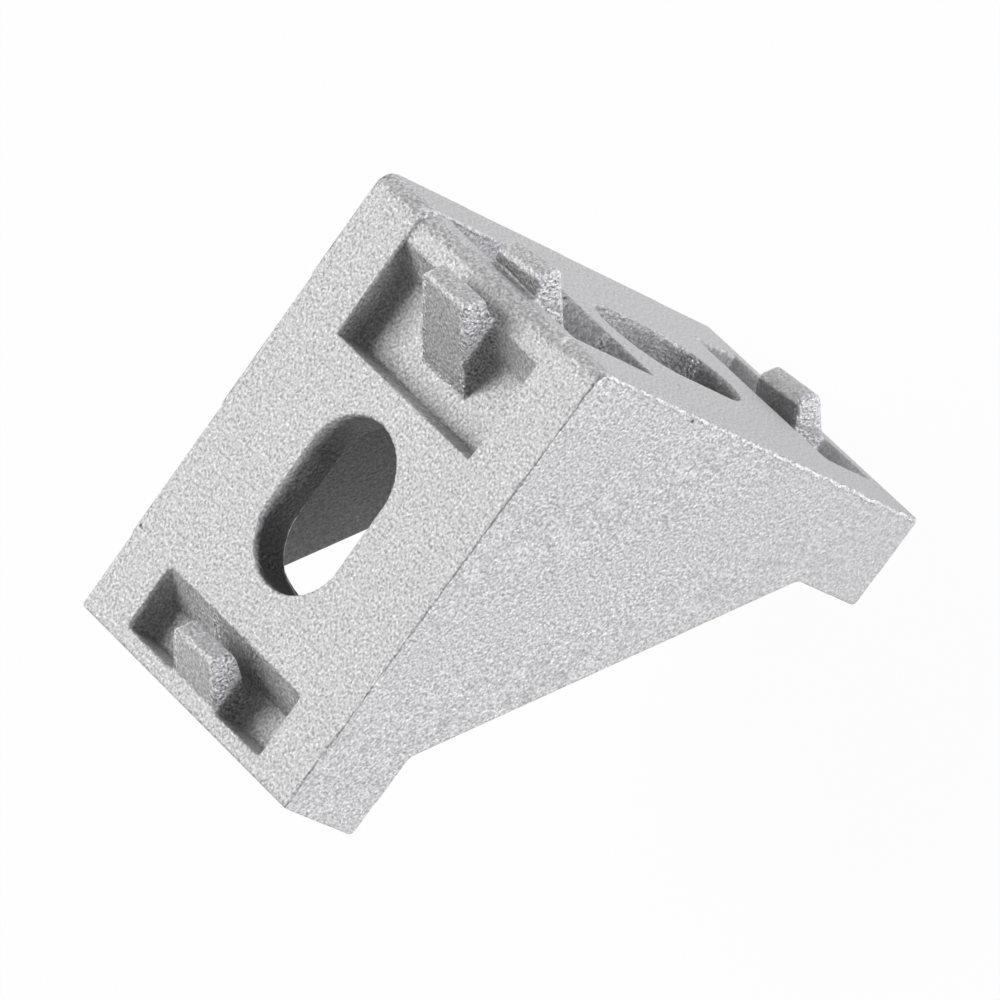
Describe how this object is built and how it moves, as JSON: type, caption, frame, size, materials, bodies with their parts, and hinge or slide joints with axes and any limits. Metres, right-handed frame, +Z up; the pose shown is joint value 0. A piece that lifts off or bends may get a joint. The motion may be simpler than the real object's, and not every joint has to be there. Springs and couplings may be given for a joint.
{
  "type": "t slot corner bracket",
  "caption": "Cast corner bracket for slotted framing profiles, with two gussets, a slotted screw hole in each leg and slanted tongues that key into the profiles' grooves.",
  "frame": {"origin": "where the rail leg's and the post leg's mating planes meet, at the middle of the width", "axes": "+X across the width; +Y along the rail leg, away from the corner; +Z up, out of the rail leg's mating face; the post leg hangs along -Z and its mating face looks toward -Y"},
  "size_m": [0.0202, 0.0299, 0.0302],
  "materials": {
    "cast_aluminium": "shot-blasted die casting, matt silver with a fine sparkling grain"
  },
  "bodies": {
    "root": {"bracket": "cast_aluminium"}
  },
  "joints": []
}
